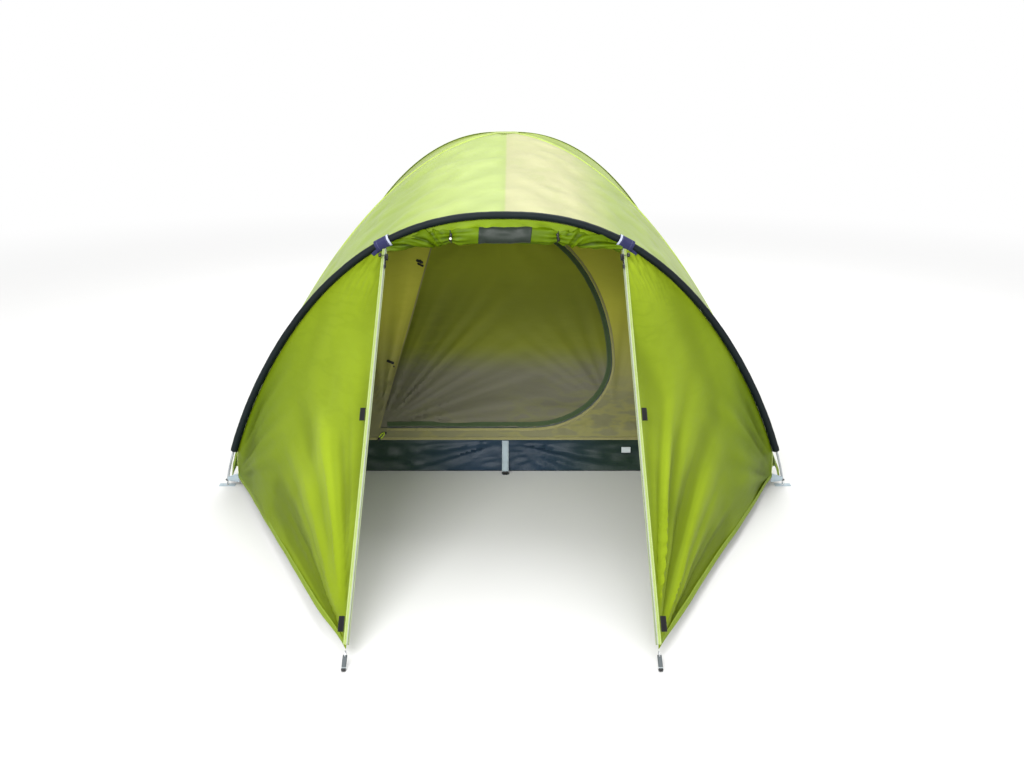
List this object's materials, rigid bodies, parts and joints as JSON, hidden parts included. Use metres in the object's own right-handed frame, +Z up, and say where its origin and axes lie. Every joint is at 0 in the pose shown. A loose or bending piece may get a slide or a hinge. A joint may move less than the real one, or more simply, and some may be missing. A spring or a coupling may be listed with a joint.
{
  "type": "dome tent",
  "caption": "Lime green dome tent on crossed poles, with a hooped porch whose door is rolled up and a hung inner tent with a D-shaped zipped door.",
  "frame": {"origin": "on the ground, under the middle of the pitched tent's outline", "axes": "+Z up, +Y from the porch doorway to the rear, +X to the right seen from the doorway"},
  "size_m": [2.16, 3.5953, 1.2264],
  "materials": {
    "flysheet": "satin",
    "inner_cloth": "matte",
    "door_cloth": "matte",
    "groundsheet": "satin",
    "sleeve_cloth": "matte",
    "webbing": "matte",
    "black_plastic": "satin",
    "fibreglass": "satin",
    "steel": "satin"
  },
  "bodies": {
    "pitched_tent": {"centre_strap": "webbing", "corner_tab_front_left": "webbing", "corner_tab_front_right": "webbing", "corner_tab_rear_left": "webbing", "corner_tab_rear_right": "webbing", "crown_hook": "black_plastic", "crown_patch": "flysheet", "dome_pole_a_section_1": "fibreglass", "dome_pole_a_section_2": "fibreglass", "dome_pole_a_section_3": "fibreglass", "dome_pole_a_section_4": "fibreglass", "dome_pole_a_section_5": "fibreglass", "dome_pole_a_section_6": "fibreglass", "dome_pole_a_section_7": "fibreglass", "dome_pole_b_section_1": "fibreglass", "dome_pole_b_section_2": "fibreglass", "dome_pole_b_section_3": "fibreglass", "dome_pole_b_section_4": "fibreglass", "dome_pole_b_section_5": "fibreglass", "dome_pole_b_section_6": "fibreglass", "dome_pole_b_section_7": "fibreglass", "door_header": "flysheet", "door_roll": "flysheet", "door_toggle_lower": "black_plastic", "door_toggle_upper": "black_plastic", "fly_canopy": "flysheet", "fly_left": "flysheet", "fly_rear": "flysheet", "fly_right": "flysheet", "groundsheet_tub": "groundsheet", "hoop_pole_section_1": "fibreglass", "hoop_pole_section_2": "fibreglass", "hoop_pole_section_3": "fibreglass", "hoop_pole_section_4": "fibreglass", "hoop_pole_section_5": "fibreglass", "hoop_sleeve": "sleeve_cloth", "hoop_tab_left": "webbing", "hoop_tab_right": "webbing", "hoop_wrap_left": "sleeve_cloth", "hoop_wrap_right": "sleeve_cloth", "inner_clip_front_left": "black_plastic", "inner_clip_front_right": "black_plastic", "inner_clip_rear_left": "black_plastic", "inner_clip_rear_right": "black_plastic", "inner_front": "inner_cloth", "inner_left": "inner_cloth", "inner_rear": "inner_cloth", "inner_right": "inner_cloth", "peg_loop_left": "webbing", "peg_loop_right": "webbing", "peg_ring_left": "steel", "peg_ring_right": "steel", "roll_tie_left": "black_plastic", "roll_tie_right": "black_plastic", "wing_left": "flysheet", "wing_right": "flysheet"},
    "inner_door": {"inner_door": "door_cloth"},
    "door_zip_slider": {"door_slider": "black_plastic"},
    "zip_slider_left": {"zip_slider_left": "black_plastic"},
    "zip_slider_right": {"zip_slider_right": "black_plastic"}
  },
  "joints": [
    {"name": "inner_door_swing", "type": "hinge", "parent": "pitched_tent", "child": "inner_door", "pos_m": [-0.491, -0.29462, 0.16532], "axis": [-0.2409, -0.518, -0.8208], "range_deg": [0, 54]},
    {"name": "door_zip_run", "type": "slide", "parent": "pitched_tent", "child": "door_zip_slider", "axis": [1, 0, 0], "range_m": [0, 0.58]},
    {"name": "left_zip_run", "type": "slide", "parent": "pitched_tent", "child": "zip_slider_left", "axis": [-0.0122, -0.7656, -0.6432], "range_m": [0, 1.319]},
    {"name": "right_zip_run", "type": "slide", "parent": "pitched_tent", "child": "zip_slider_right", "axis": [0.0122, -0.7656, -0.6432], "range_m": [0, 1.319]}
  ]
}
